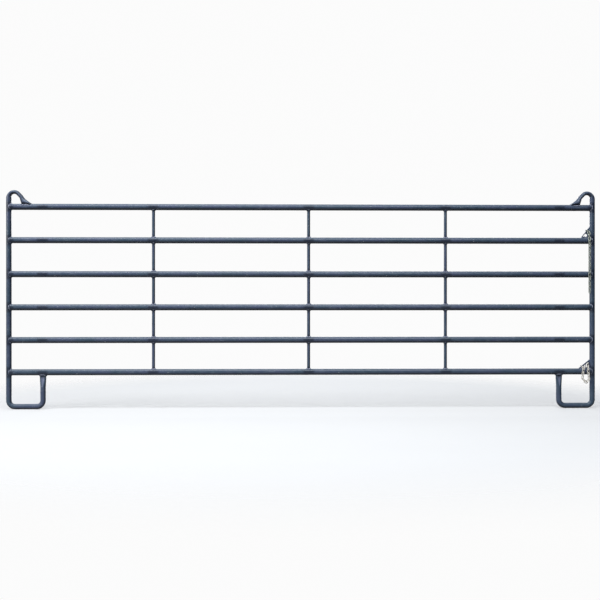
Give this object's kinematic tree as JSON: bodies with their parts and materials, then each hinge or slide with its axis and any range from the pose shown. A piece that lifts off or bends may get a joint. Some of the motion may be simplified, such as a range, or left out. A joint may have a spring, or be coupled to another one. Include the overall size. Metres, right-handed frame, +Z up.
{
  "type": "livestock panel gate",
  "caption": "Portable livestock panel: round tube rails and stays between bent end posts with loop feet and head loops, and tie chains at one end.",
  "frame": {"origin": "on the ground, midway between the end posts, in the middle plane of the panel", "axes": "+X along the rails towards the end with the chains, +Y from the front face to the back, +Z up"},
  "size_m": [4.267, 0.0743, 1.5787],
  "materials": {
    "painted_steel": "semi-gloss slate blue enamel, scuffed",
    "galvanised_steel": "zinc plated, dulled"
  },
  "bodies": {
    "panel": {"right_end_post": "painted_steel", "left_end_post": "painted_steel", "bottom_rail": "painted_steel", "fifth_rail": "painted_steel", "fourth_rail": "painted_steel", "third_rail": "painted_steel", "second_rail": "painted_steel", "top_rail": "painted_steel", "left_stay_1": "painted_steel", "left_stay_2": "painted_steel", "left_stay_3": "painted_steel", "left_stay_4": "painted_steel", "left_stay_5": "painted_steel", "middle_stay_1": "painted_steel", "middle_stay_2": "painted_steel", "middle_stay_3": "painted_steel", "middle_stay_4": "painted_steel", "middle_stay_5": "painted_steel", "right_stay_1": "painted_steel", "right_stay_2": "painted_steel", "right_stay_3": "painted_steel", "right_stay_4": "painted_steel", "right_stay_5": "painted_steel", "upper_chain_plate": "painted_steel", "lower_chain_plate": "painted_steel", "lower_anchor_link": "galvanised_steel", "lower_locked_link": "galvanised_steel", "lower_last_link": "galvanised_steel"},
    "upper_anchor_link": {"upper_anchor_link": "galvanised_steel"},
    "upper_chain_link_01": {"upper_chain_link_01": "galvanised_steel"},
    "upper_chain_link_02": {"upper_chain_link_02": "galvanised_steel"},
    "upper_chain_link_03": {"upper_chain_link_03": "galvanised_steel"},
    "upper_chain_link_04": {"upper_chain_link_04": "galvanised_steel"},
    "upper_chain_link_05": {"upper_chain_link_05": "galvanised_steel"},
    "upper_chain_link_06": {"upper_chain_link_06": "galvanised_steel"},
    "upper_chain_link_07": {"upper_chain_link_07": "galvanised_steel"},
    "upper_chain_link_08": {"upper_chain_link_08": "galvanised_steel"},
    "upper_chain_link_09": {"upper_chain_link_09": "galvanised_steel"},
    "upper_chain_link_10": {"upper_chain_link_10": "galvanised_steel"},
    "upper_chain_link_11": {"upper_chain_link_11": "galvanised_steel"},
    "upper_chain_link_12": {"upper_chain_link_12": "galvanised_steel"},
    "upper_chain_link_13": {"upper_chain_link_13": "galvanised_steel"},
    "upper_chain_link_14": {"upper_chain_link_14": "galvanised_steel"},
    "upper_chain_link_15": {"upper_chain_link_15": "galvanised_steel"},
    "upper_chain_link_16": {"upper_chain_link_16": "galvanised_steel"},
    "upper_chain_link_17": {"upper_chain_link_17": "galvanised_steel"},
    "upper_chain_link_18": {"upper_chain_link_18": "galvanised_steel"},
    "upper_chain_link_19": {"upper_chain_link_19": "galvanised_steel"},
    "lower_chain_loop": {"lower_chain_left_link_1": "galvanised_steel", "lower_chain_left_link_2": "galvanised_steel", "lower_chain_left_link_3": "galvanised_steel", "lower_chain_left_link_4": "galvanised_steel", "lower_chain_left_link_5": "galvanised_steel", "lower_chain_bottom_link": "galvanised_steel", "lower_chain_right_link_1": "galvanised_steel", "lower_chain_right_link_2": "galvanised_steel", "lower_chain_right_link_3": "galvanised_steel", "lower_chain_right_link_4": "galvanised_steel", "lower_chain_right_link_5": "galvanised_steel", "lower_chain_right_link_6": "galvanised_steel"}
  },
  "joints": [
    {"name": "upper_anchor_tilt", "type": "hinge", "parent": "panel", "child": "upper_anchor_link", "pos_m": [2.07371, 0, 1.29173], "axis": [0.6183, 0, 0.786], "range_deg": [-12, 0]},
    {"name": "upper_link_01_swing", "type": "hinge", "parent": "upper_anchor_link", "child": "upper_chain_link_01", "pos_m": [2.08475, -0.01601, 1.28305], "axis": [0.3496, 0.8956, -0.2751], "range_deg": [-25, 0]},
    {"name": "upper_link_02_swing", "type": "hinge", "parent": "upper_chain_link_01", "child": "upper_chain_link_02", "pos_m": [2.08475, -0.02295, 1.26046], "axis": [0.9369, -0.3342, 0.1027], "range_deg": [-25, 0]},
    {"name": "upper_link_03_swing", "type": "hinge", "parent": "upper_chain_link_02", "child": "upper_chain_link_03", "pos_m": [2.08475, -0.02988, 1.23787], "axis": [0.4919, 0.8323, -0.2556], "range_deg": [-25, 0]},
    {"name": "upper_link_04_swing", "type": "hinge", "parent": "upper_chain_link_03", "child": "upper_chain_link_04", "pos_m": [2.08364, -0.03595, 1.21515], "axis": [0.7691, -0.6392, 0], "range_deg": [-25, 0]},
    {"name": "upper_link_05_swing", "type": "hinge", "parent": "upper_chain_link_04", "child": "upper_chain_link_05", "pos_m": [2.08364, -0.03595, 1.19152], "axis": [0.7516, 0.6596, 0], "range_deg": [-25, 0]},
    {"name": "upper_link_06_swing", "type": "hinge", "parent": "upper_chain_link_05", "child": "upper_chain_link_06", "pos_m": [2.08364, -0.03595, 1.16789], "axis": [0.5339, -0.8455, 0], "range_deg": [-25, 0]},
    {"name": "upper_link_07_swing", "type": "hinge", "parent": "upper_chain_link_06", "child": "upper_chain_link_07", "pos_m": [2.08364, -0.03595, 1.14427], "axis": [0.9187, 0.3951, 0], "range_deg": [-25, 0]},
    {"name": "upper_link_08_swing", "type": "hinge", "parent": "upper_chain_link_07", "child": "upper_chain_link_08", "pos_m": [2.08364, -0.03595, 1.12064], "axis": [0.3951, -0.9187, 0], "range_deg": [-25, 0]},
    {"name": "upper_link_09_swing", "type": "hinge", "parent": "upper_chain_link_08", "child": "upper_chain_link_09", "pos_m": [2.08364, -0.03595, 1.09701], "axis": [0.9187, 0.3951, 0], "range_deg": [-25, 0]},
    {"name": "upper_link_10_swing", "type": "hinge", "parent": "upper_chain_link_09", "child": "upper_chain_link_10", "pos_m": [2.08364, -0.03595, 1.07337], "axis": [0.3951, -0.9187, 0], "range_deg": [-25, 0]},
    {"name": "upper_link_11_swing", "type": "hinge", "parent": "upper_chain_link_10", "child": "upper_chain_link_11", "pos_m": [2.08364, -0.03595, 1.04974], "axis": [0.9187, 0.3951, 0], "range_deg": [-25, 0]},
    {"name": "upper_link_12_swing", "type": "hinge", "parent": "upper_chain_link_11", "child": "upper_chain_link_12", "pos_m": [2.08364, -0.03595, 1.02612], "axis": [0.3951, -0.9187, 0], "range_deg": [-25, 0]},
    {"name": "upper_link_13_swing", "type": "hinge", "parent": "upper_chain_link_12", "child": "upper_chain_link_13", "pos_m": [2.08364, -0.03595, 1.00249], "axis": [0.9187, 0.3951, 0], "range_deg": [-25, 0]},
    {"name": "upper_link_14_swing", "type": "hinge", "parent": "upper_chain_link_13", "child": "upper_chain_link_14", "pos_m": [2.08364, -0.03595, 0.97886], "axis": [0.3951, -0.9187, 0], "range_deg": [-25, 0]},
    {"name": "upper_link_15_swing", "type": "hinge", "parent": "upper_chain_link_14", "child": "upper_chain_link_15", "pos_m": [2.08364, -0.03595, 0.95522], "axis": [0.9187, 0.3951, 0], "range_deg": [-25, 0]},
    {"name": "upper_link_16_swing", "type": "hinge", "parent": "upper_chain_link_15", "child": "upper_chain_link_16", "pos_m": [2.08364, -0.03595, 0.93159], "axis": [0.3951, -0.9187, 0], "range_deg": [-25, 0]},
    {"name": "upper_link_17_swing", "type": "hinge", "parent": "upper_chain_link_16", "child": "upper_chain_link_17", "pos_m": [2.08364, -0.03595, 0.90797], "axis": [0.9187, 0.3951, 0], "range_deg": [-25, 0]},
    {"name": "upper_link_18_swing", "type": "hinge", "parent": "upper_chain_link_17", "child": "upper_chain_link_18", "pos_m": [2.08364, -0.03595, 0.88433], "axis": [0.3951, -0.9187, 0], "range_deg": [-25, 0]},
    {"name": "upper_link_19_swing", "type": "hinge", "parent": "upper_chain_link_18", "child": "upper_chain_link_19", "pos_m": [2.08364, -0.03595, 0.86071], "axis": [0.9187, 0.3951, 0], "range_deg": [-25, 0]},
    {"name": "lower_loop_swing", "type": "hinge", "parent": "panel", "child": "lower_chain_loop", "pos_m": [2.04286, -0.0196, 0.2966], "axis": [0.7991, 0.1431, 0.584], "range_deg": [-10, 0]}
  ]
}
